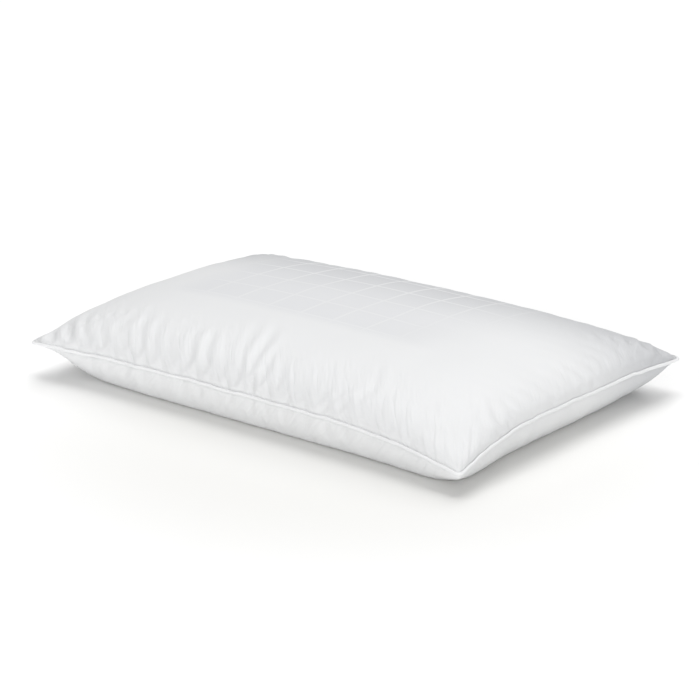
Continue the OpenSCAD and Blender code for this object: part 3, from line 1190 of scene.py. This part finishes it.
def make_lights():
    """A large soft light above and behind, with low fills, in a room that is darker behind."""
    for name, strength, azimuth, elevation, width in SOFT_LIGHTS:
        data = bpy.data.lights.new(name, "SUN")
        data.energy = strength
        data.angle = math.radians(width)
        add_object(name, data, direction(math.radians(azimuth), math.radians(elevation)))
    world = bpy.data.worlds.new("white_room")
    world.use_nodes = True
    tree = world.node_tree
    place = tree.nodes.new("ShaderNodeTexCoord")
    facing = tree.nodes.new("ShaderNodeVectorMath")
    facing.operation = "DOT_PRODUCT"
    facing.inputs[1].default_value = direction(CAMERA_AZIMUTH, ROOM_FRONT_ELEVATION)
    tree.links.new(place.outputs["Generated"], facing.inputs[0])
    background = tree.nodes["Background"]
    background.inputs["Color"].default_value = (1, 1, 1, 1)
    strength = math_node(tree, "MULTIPLY_ADD", facing.outputs["Value"], ROOM_FRONT, ROOM_LIGHT)
    tree.links.new(strength, background.inputs["Strength"])
    bpy.context.scene.world = world
    bpy.context.scene.view_settings.view_transform = "Standard"


FLOOR_HALF = 14.0
FLOOR_DROP = 0.2 * MM
# The floor has painted shadow about this place, under and in front of the pillow, and turns white
# between these two distances from it
FLOOR_SHADOW_PLACE = (0.13, -0.16, 0)
FLOOR_SHADOW_REACH = (0.20, 0.62)
FLOOR_PAINTED_SHADOW = (0.85, 0.847, 0.830)
FLOOR_WHITE = (0.97, 0.97, 0.97)


def make_floor():
    """White paper, with painted shadow under and in front of the pillow."""
    half = FLOOR_HALF
    corners = [(x * half, y * half, -FLOOR_DROP) for x, y in ((-1, -1), (1, -1), (1, 1), (-1, 1))]
    floor = make_object("floor", corners, [(0, 1, 2, 3)], smooth=False, closed=False)
    material, tree, shader = new_material("white_floor", FLOOR_WHITE, 0.95, specular=0.0)
    far = tree.nodes.new("ShaderNodeVectorMath")
    far.operation = "DISTANCE"
    far.inputs[1].default_value = FLOOR_SHADOW_PLACE
    tree.links.new(object_place(tree), far.inputs[0])
    # Painted shadow near the pillow, fading to white further out
    share = ramp(tree, far.outputs["Value"], *FLOOR_SHADOW_REACH, 0, 1)
    paint(tree, shader, share, FLOOR_PAINTED_SHADOW, FLOOR_WHITE)
    floor.data.materials.append(material)


# ---------------- assembly

def dress(piece, material, body, node):
    """Gives a piece its material and body, and hides the CAD node it stands for."""
    piece.data.materials.append(material)
    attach(piece, body)
    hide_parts(node)


def main():
    make_camera()
    make_lights()
    make_floor()
    points, start = settle()
    face = outward(points)
    flat = flat_cut(start)
    rim = Seam(*(rim_of(place) for place in cloth_grid()))
    cotton, bias = cotton_material(), piping_material()
    thread, cord = thread_material(), cord_material()
    satin = satin_material()

    upper = make_upper_panel(points[0], face[0], flat[0], rim)
    dress(upper, cotton, "pillow", "upper_cover")
    lower = make_lower_panel(points[1], face[1], flat[1], rim)
    dress(lower, cotton, "pillow", "lower_cover")
    fill = make_fill(points, face, flat[0])
    dress(fill, fill_material(), "pillow", "fill")

    seam = Seam(*seam_uv(3 * MM))
    piping = make_piping(seam)
    dress(piping, bias, "pillow", "piping_casing")
    filler = make_piping_cord(Seam(*seam_uv(2 * MM)))
    dress(filler, cord, "pillow", "piping_cord")
    above = UPPER_GAP + CLOTH + PLY_GAP + SEAM_THREAD_R
    below = -(LOWER_GAP + CLOTH + PLY_GAP + SEAM_THREAD_R)
    needle = make_seam_thread("needle_thread", above, NEEDLE_DIP)
    dress(needle, thread, "pillow", "seam_needle_thread")
    bobbin = make_seam_thread("bobbin_thread", below, -NEEDLE_DIP)
    dress(bobbin, thread, "pillow", "seam_bobbin_thread")
    dress(make_overlock(), thread, "pillow", "overlock_thread")
    dress(make_closing_stitch(), thread, "pillow", "closing_thread")

    label, width, length = make_label(LABEL_ROOT)
    dress(label, satin, "label", "care_label")
    tail = make_label_tail(LABEL_ROOT, width)
    dress(tail, satin, "pillow", "care_label_tail")


main()
